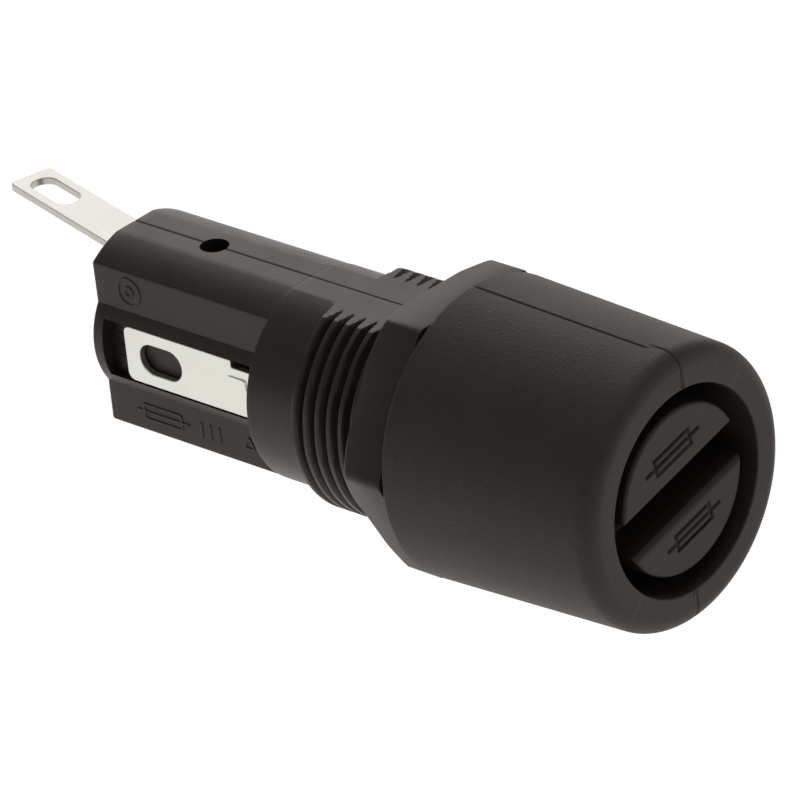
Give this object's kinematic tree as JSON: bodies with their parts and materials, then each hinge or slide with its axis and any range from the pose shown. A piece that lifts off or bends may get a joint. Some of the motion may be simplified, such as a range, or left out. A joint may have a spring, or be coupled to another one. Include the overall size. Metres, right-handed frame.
{
  "type": "cartridge fuse holder",
  "caption": "Black panel fuse holder: round tapered nose with a slotted bayonet carrier, flatted threaded neck, hexagon nut and slotted solder tags at the side and rear",
  "frame": {"origin": "on the holder's axis at the rear shoulder of the nose, the plane that bears on the panel", "axes": "the slotted face looks along -Y and the neck runs back along +Y, +Z is square to the neck's upper flat, and the side tag is on -X"},
  "size_m": [0.0154, 0.0447, 0.0152],
  "materials": {
    "black_moulding": "black thermoplastic, spark-textured nose and plain body",
    "nut_moulding": "black moulded nut, slightly glossy",
    "carrier_moulding": "black moulded carrier",
    "tinned_brass": "tin-plated strip, satin",
    "contact_metal": "nickel-plated contact strip",
    "spring_steel": "drawn spring wire",
    "fuse_glass": "clear glass tube",
    "fuse_cap_metal": "nickel-plated pressed cap",
    "solder": "dull solder fillet",
    "wire_metal": "bare fuse wire"
  },
  "bodies": {
    "holder": {"housing": "black_moulding", "side_terminal": "tinned_brass", "rear_terminal": "tinned_brass", "contact_spring": "spring_steel"},
    "nut": {"fixing_nut": "nut_moulding"},
    "rear_contact": {"rear_contact_cup": "contact_metal"},
    "fuse": {"fuse_glass_tube": "fuse_glass", "fuse_front_cap": "fuse_cap_metal", "fuse_rear_cap": "fuse_cap_metal", "fuse_front_solder": "solder", "fuse_rear_solder": "solder", "fuse_wire": "wire_metal"},
    "carrier_contact": {"carrier_clip": "contact_metal"},
    "carrier_head": {"carrier_knob": "carrier_moulding"}
  },
  "joints": [
    {"name": "carrier_out", "type": "slide", "parent": "holder", "child": "fuse", "axis": [0, -1, 0], "range_m": [0, 0.032]},
    {"name": "fuse_pull", "type": "slide", "parent": "fuse", "child": "carrier_contact", "axis": [0, -1, 0], "range_m": [0, 0.018]},
    {"name": "carrier_turn", "type": "hinge", "parent": "carrier_contact", "child": "carrier_head", "pos_m": [0, -0.005, 0], "axis": [0, -1, 0], "range_deg": [-75, 0]},
    {"name": "contact_press", "type": "slide", "parent": "holder", "child": "rear_contact", "axis": [0, 1, 0], "range_m": [0, 0.001], "stiffness_N_per_m": 400, "deforming": ["contact_spring"]},
    {"name": "nut_travel", "type": "slide", "parent": "holder", "child": "nut", "axis": [0, 1, 0], "range_m": [0, 0.024]}
  ]
}
